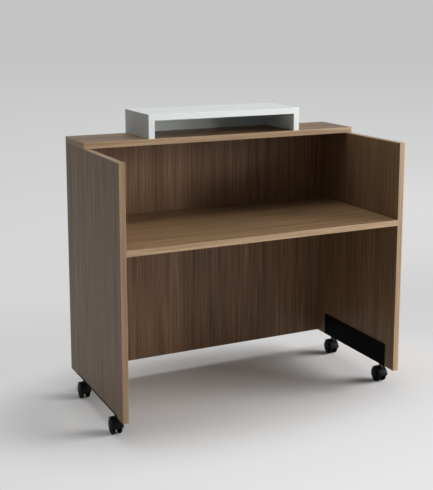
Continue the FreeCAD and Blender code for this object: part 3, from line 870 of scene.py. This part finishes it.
# ---- Rails -----------------------------------------------------------------------------------
@dataclass
class Rails:
    """Folded steel rails under the side panels, with their screws and the casters' nuts."""

    palette: Palette
    finishes: dict[str, TexturedFinish | SteelFinish] = field(default_factory=lambda: {
        "left_rail": POWDER_COAT,
        "right_rail": POWDER_COAT,
        "rail_screws": BLACK_ZINC,
        "caster_insert_nuts": ZINC,
        "caster_stem_clips": ZINC,
    })

    def build(self) -> None:
        """Dress the rails and what is fastened to them."""
        for node, finish in self.finishes.items():
            dress_node(node, self.palette.material(finish))


# ---- Casters ---------------------------------------------------------------------------------
class Corner(Enum):
    """The casters' places under the carcass."""

    FRONT_LEFT = "front_left"
    FRONT_RIGHT = "front_right"
    REAR_LEFT = "rear_left"
    REAR_RIGHT = "rear_right"


@dataclass
class Caster:
    """A hooded twin-wheel caster: housing, two hubs and two tyres round a steel axle.

    Profiles are pairs of distance along the axle and radius from it, or of radius and height
    for what is turned about the stem.
    """

    corner: Corner
    palette: Palette
    hood_arc: float = 130.0          # degrees, from level in front to behind the top
    hood_gap: float = 0.0017         # between tyre and hood
    hood_edge: float = 0.0014        # the hood's thickness at its open sides
    hood_corner: float = 0.009       # rounding of the hood's corners, seen flat
    hood_lip: float = 0.0006
    web: float = 0.013
    web_radius: float = 0.017
    boss_radius: float = 0.0065
    boss_flare: float = 0.0045       # how much the boss widens into the crown
    pin_radius: float = 0.00405
    axle_bore: float = 0.00302
    tread: float = 0.005
    tread_round: float = 0.0018
    bond_gap: float = 0.00005
    sidewall_step: float = 0.0004
    dome: float = 0.004
    hub_bore: float = 0.00305
    hub_boss: float = 0.008
    hub_hollow: float = 0.0055
    hub_rim: float = 0.0035
    hub_blind: float = 0.0016
    groove_radius: float = 0.0185
    groove_width: float = 0.0016
    groove_depth: float = 0.0006
    cap_radius: float = 0.0075
    cap_step: float = 0.0005
    turns: int = 72

    def __post_init__(self) -> None:
        """Read the axle's and the stem's places and the wheels' sizes."""
        name = self.corner.value
        axle_low, axle_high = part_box(f"{name}_caster_axle")
        stem_low, stem_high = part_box(f"{name}_caster_stem")
        house_low, house_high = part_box(f"{name}_caster_housing")
        tyre_low, tyre_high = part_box(f"{name}_outer_tyre")
        self.axle = (axle_low + axle_high) / 2
        self.stem = (stem_low + stem_high) / 2
        self.trail = self.axle.y - self.stem.y
        self.boss_top = house_high.z - self.axle.z
        self.pin_floor = stem_low.z - self.axle.z
        self.half_width = (house_high.x - house_low.x) / 2
        self.radius = (tyre_high.z - tyre_low.z) / 2
        self.crown = self.axle.y - house_low.y
        reach = sorted(abs(x - self.axle.x) for x in (tyre_low.x, tyre_high.x))
        self.wheel_inner, self.wheel_rim = reach

    def beside(self, x: float, radius: float) -> Vector:
        """Where a profile point lies, level with the axle and in front of it."""
        return Vector((x, -radius, 0.0))

    def above(self, radius: float, height: float) -> Vector:
        """Where a point of a profile turned about the stem lies."""
        return Vector((radius, -self.trail, height))

    def turned(self, profile: Profile, closed: bool) -> BMesh:
        """A full turn of a profile about the axle.

        Args:
            profile: Distances along the axle and radii.
            closed: Whether the profile joins up, rather than ending on the axle's middle line.

        Returns:
            The mesh being built.
        """
        bm = bmesh.new()
        geometry = wire(bm, profile, self.beside, closed)
        bmesh.ops.spin(
            bm, geom=geometry, cent=(0, 0, 0), axis=(1, 0, 0), angle=math.tau,
            steps=self.turns, use_merge=True, use_duplicate=False,
        )
        return bm

    def hood(self) -> BMesh:
        """The hood over the wheels: a crowned strip bent round the axle, with rounded corners."""
        inner = self.radius + self.hood_gap
        side = inner + self.hood_edge
        rise = self.crown - side
        bend = (self.half_width ** 2 + rise ** 2) / (2 * rise)
        reach = math.degrees(math.asin(self.half_width / bend))
        outer = arc((0.0, self.crown - bend), bend, 90 - reach, 90 + reach, 13)
        bm = bmesh.new()
        wire(bm, [(-self.half_width, inner), (self.half_width, inner), *outer], self.beside, True)
        face = bmesh.ops.contextual_create(bm, geom=bm.edges)["faces"]
        bmesh.ops.spin(
            bm, geom=face, cent=(0, 0, 0), axis=(-1, 0, 0), angle=math.radians(self.hood_arc),
            steps=26, use_duplicate=False,
        )
        seal(bm)
        self.round_hood(bm, inner, side)
        return bm

    def round_hood(self, bm: BMesh, inner: float, side: float) -> None:
        """Round the hood's four corners and soften its outline.

        Args:
            bm: The hood.
            inner: Radius of its inner skin.
            side: Radius of its outer skin at the open sides.
        """
        corners = []
        for edge in bm.edges:
            radii = sorted(math.hypot(vert.co.y, vert.co.z) for vert in edge.verts)
            spread = abs(radii[0] - inner) < 1e-5 and abs(radii[1] - side) < 1e-5
            at_side = all(abs(abs(vert.co.x) - self.half_width) < 1e-5 for vert in edge.verts)
            if spread and at_side and any(len(face.verts) > 4 for face in edge.link_faces):
                corners.append(edge)
        round_over(bm, corners, self.hood_corner, 5)
        rim = [edge for edge in bm.edges if edge.calc_face_angle(0.0) > math.radians(50)]
        round_over(bm, rim, self.hood_lip, 2)

    def web_plate(self) -> BMesh:
        """The plate between the wheels: a sector up to the hood."""
        half = self.web / 2
        outer = self.radius + self.hood_gap + self.hood_edge / 2
        bm = bmesh.new()
        wire(bm, [(-half, 0.0), (half, 0.0), (half, outer), (-half, outer)], self.beside, True)
        face = bmesh.ops.contextual_create(bm, geom=bm.edges)["faces"]
        bmesh.ops.spin(
            bm, geom=face, cent=(0, 0, 0), axis=(-1, 0, 0), angle=math.radians(self.hood_arc),
            steps=26, use_duplicate=False,
        )
        return bm

    def web_disc(self) -> BMesh:
        """The disc round the axle."""
        half = self.web / 2
        profile = [
            (-half, 0.0), (-half, self.web_radius - self.hood_lip),
            (-half + self.hood_lip, self.web_radius), (half - self.hood_lip, self.web_radius),
            (half, self.web_radius - self.hood_lip), (half, 0.0),
        ]
        return self.turned(profile, closed=False)

    def upright(self, profile: Profile) -> BMesh:
        """A full turn of a profile about the stem.

        Args:
            profile: Radii and heights above the axle, starting and ending at radius 0.

        Returns:
            The mesh being built.
        """
        bm = bmesh.new()
        geometry = wire(bm, profile, self.above, False)
        bmesh.ops.spin(
            bm, geom=geometry, cent=(0.0, -self.trail, 0.0), axis=(0, 0, 1), angle=math.tau,
            steps=self.turns // 2, use_merge=True, use_duplicate=False,
        )
        return bm

    def boss(self) -> BMesh:
        """The boss that the stem turns in, flared where it meets the crown."""
        lip = self.hood_lip
        root = self.boss_top - 0.0075
        flare = arc((self.boss_radius + self.boss_flare, self.boss_top - 0.002), self.boss_flare, 270, 180, 6)
        profile = [(0.0, 0.0), (self.boss_radius, 0.0), (self.boss_radius, root - 0.006)]
        profile += [(flare[0][0], root), *flare[:-1]]
        profile += [
            (self.boss_radius, self.boss_top - 0.002), (self.boss_radius, self.boss_top - lip),
            (self.boss_radius - lip, self.boss_top), (0.0, self.boss_top),
        ]
        return self.upright(profile)

    def bore(self) -> BMesh:
        """Room for the stem's pin."""
        top = self.boss_top + 0.002
        return self.upright([
            (0.0, self.pin_floor - 0.0005), (self.pin_radius, self.pin_floor - 0.0005),
            (self.pin_radius, top), (0.0, top),
        ])

    def axle_hole(self) -> BMesh:
        """Room for the axle."""
        end = self.web
        return self.turned([(-end, 0.0), (-end, self.axle_bore), (end, self.axle_bore), (end, 0.0)], False)

    def housing(self) -> BMesh:
        """Hood, web and boss in one moulding, bored for stem and axle."""
        return combined(self.hood(), [
            ("UNION", self.web_plate()), ("UNION", self.web_disc()), ("UNION", self.boss()),
            ("DIFFERENCE", self.bore()), ("DIFFERENCE", self.axle_hole()),
        ])

    def face_at(self, radius: float) -> float:
        """Distance along the axle of the hub's domed face at a radius."""
        rim = self.radius - self.tread
        sphere = (rim ** 2 + self.dome ** 2) / (2 * self.dome)
        return self.wheel_rim + self.dome - sphere + math.sqrt(sphere ** 2 - radius ** 2)

    def hub_profile(self) -> Profile:
        """Blind bore, hollow inner side, and a domed face with a ring groove and a centre cap."""
        rim = self.radius - self.tread - self.bond_gap
        inner = self.wheel_inner
        floor = inner + self.hub_hollow
        blind = self.wheel_rim + self.dome - self.hub_blind
        hollow = rim - self.hub_rim
        profile = [
            (blind, 0.0), (blind, self.hub_bore), (inner, self.hub_bore), (inner, self.hub_boss),
            (floor, self.hub_boss), (floor, hollow), (inner, hollow), (inner, rim),
        ]
        steps = 4
        groove_out = self.groove_radius + self.groove_width / 2
        groove_in = self.groove_radius - self.groove_width / 2
        for start, end in ((rim, groove_out), (groove_in, self.cap_radius + self.cap_step)):
            radii = [start + (end - start) * index / steps for index in range(steps + 1)]
            profile += [(self.face_at(radius), radius) for radius in radii]
            if start == rim:
                profile.append((self.face_at(self.groove_radius) - self.groove_depth, self.groove_radius))
        cap = self.face_at(self.cap_radius) - self.cap_step
        return profile + [(cap, self.cap_radius), (cap, 0.0)]

    def tyre_profile(self) -> Profile:
        """Tread with round shoulders and a small step where each sidewall meets the hub."""
        low = self.radius - self.tread
        inner, outer = self.wheel_inner, self.wheel_rim
        shoulder = self.radius - self.tread_round
        step = self.sidewall_step
        near = arc((inner + self.tread_round, shoulder), self.tread_round, 180, 90, 6)
        far = arc((outer - self.tread_round, shoulder), self.tread_round, 90, 0, 6)
        return [
            (inner + step, low), (inner + step, low + 2 * step), (inner, low + 3 * step), *near,
            *far, (outer, low + 3 * step), (outer - step, low + 2 * step), (outer - step, low),
        ]

    def wheel_part(self, profile: Profile, closed: bool, facing: float) -> BMesh:
        """A part of a wheel, on its side of the housing.

        Args:
            profile: The part's profile on the +X side.
            closed: Whether the profile joins up.
            facing: 1 for the wheel on the +X side, -1 for the other.

        Returns:
            The mesh being built.
        """
        return self.turned([(facing * x, radius) for x, radius in profile], closed)

    def put(self, bm: BMesh, name: str, role: Role, finish: TexturedFinish) -> None:
        """Move a finished part to its caster and publish it.

        Args:
            bm: The part, built round the axle's centre.
            name: What the part is called within the caster.
            role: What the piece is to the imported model.
            finish: Its finish.
        """
        bmesh.ops.translate(bm, vec=self.axle, verts=bm.verts)
        publish(bm, f"{self.corner.value}_{name}", role, self.palette.material(finish))

    def build(self) -> None:
        """Make the housing, hubs and tyres, and dress the steel axle and stem."""
        name = self.corner.value
        outward = math.copysign(1.0, self.axle.x)
        role = Role(f"{name}_caster", "caster_hood", (f"{name}_caster_housing",))
        self.put(self.housing(), "hooded_housing", role, HOOD_PLASTIC)
        for place, facing in (("outer", outward), ("inner", -outward)):
            body = f"{name}_{place}_wheel"
            hub = self.wheel_part(self.hub_profile(), False, facing)
            role = Role(body, "caster_wheel", (f"{name}_{place}_wheel_hub",))
            self.put(hub, f"{place}_domed_hub", role, WHEEL_PLASTIC)
            tyre = self.wheel_part(self.tyre_profile(), True, facing)
            role = Role(body, "caster_tread", (f"{name}_{place}_tyre",))
            self.put(tyre, f"{place}_tread_ring", role, TREAD_RUBBER)
        dress_node(f"{name}_caster_axle", self.palette.material(ZINC))
        dress_node(f"{name}_caster_stem", self.palette.material(BLACK_ZINC))


# ---- Studio ----------------------------------------------------------------------------------
@dataclass(frozen=True)
class SoftLamp:
    """A square area lamp aimed at a point."""

    name: str
    place: Vector
    aim: Vector
    size: float
    power: float
    colour: Colour = (1.0, 1.0, 1.0)

    def build(self) -> None:
        """Hang the lamp."""
        lamp = bpy.data.lights.new(self.name, "AREA")
        lamp.shape = "SQUARE"
        lamp.size = self.size
        lamp.energy = self.power
        lamp.color = self.colour
        holder = bpy.data.objects.new(self.name, lamp)
        holder.visible_camera = False
        holder.location = self.place
        holder.rotation_euler = (self.aim - self.place).to_track_quat("-Z", "Y").to_euler()
        bpy.context.scene.collection.objects.link(holder)


@dataclass
class Studio:
    """Pale floor, soft lamps, even surroundings and the camera."""

    floor_reach: float = 30.0
    ambient: float = 0.115
    camera_place: Vector = field(default_factory=lambda: Vector((-1.721, -3.386, 1.549)))
    camera_pitch: float = 9.36       # degrees below level
    camera_yaw: float = 25.91        # degrees to the right of +Y
    lens: float = 69.57
    shift: float = -0.15
    lamps: tuple[SoftLamp, ...] = (
        SoftLamp("key_lamp", Vector((6.78, -3.91, 2.26)), Vector((0.0, 0.0, 0.6)), 4.0, 540.0),
        SoftLamp("side_lamp", Vector((7.70, -2.06, 1.30)), Vector((0.0, 0.0, 0.6)), 4.0, 675.0),
        SoftLamp("sky_lamp", Vector((-0.25, 0.35, 3.9)), Vector((0.0, 0.0, 0.6)), 2.5, 52.0),
    )

    def lay_floor(self) -> None:
        """Lay the floor."""
        bm = bmesh.new()
        bmesh.ops.create_grid(bm, x_segments=8, y_segments=8, size=self.floor_reach)
        floor = as_object(bm, "studio_floor")
        floor.data.materials.append(FloorFinish().make())

    def light(self) -> None:
        """Hang the lamps and set what surrounds the object."""
        for lamp in self.lamps:
            lamp.build()
        world = bpy.data.worlds.new("studio_surroundings")
        world.use_nodes = True
        tree = world.node_tree
        room = tree.nodes["Background"]
        room.inputs["Color"].default_value = (1.0, 1.0, 1.0, 1.0)
        room.inputs["Strength"].default_value = self.ambient
        seen = tree.nodes.new("ShaderNodeBackground")
        seen.inputs["Color"].default_value = (*ROOM_TONE, 1.0)
        mixed = tree.nodes.new("ShaderNodeMixShader")
        tree.links.new(shown_rays(tree), mixed.inputs[0])
        tree.links.new(room.outputs[0], mixed.inputs[1])
        tree.links.new(seen.outputs[0], mixed.inputs[2])
        tree.links.new(mixed.outputs[0], tree.nodes["World Output"].inputs["Surface"])
        bpy.context.scene.world = world

    def set_camera(self) -> None:
        """Place the camera."""
        camera = bpy.data.cameras.new("studio_camera")
        camera.lens = self.lens
        camera.shift_y = self.shift
        holder = bpy.data.objects.new("studio_camera", camera)
        holder.location = self.camera_place
        turn = (math.radians(90.0 - self.camera_pitch), 0.0, math.radians(-self.camera_yaw))
        holder.rotation_euler = Euler(turn)
        bpy.context.scene.collection.objects.link(holder)
        bpy.context.scene.camera = holder
        bpy.context.scene.view_settings.view_transform = "Standard"

    def build(self) -> None:
        """Set up the whole studio."""
        self.lay_floor()
        self.light()
        self.set_camera()


def main() -> None:
    """Build the lectern and its studio."""
    logging.basicConfig(level=logging.INFO, format="%(name)s: %(message)s")
    palette = Palette()
    Studio().build()
    Carcass(palette).build()
    Riser(palette).build()
    Rails(palette).build()
    for corner in Corner:
        Caster(corner, palette).build()


if __name__ == "__main__":
    main()
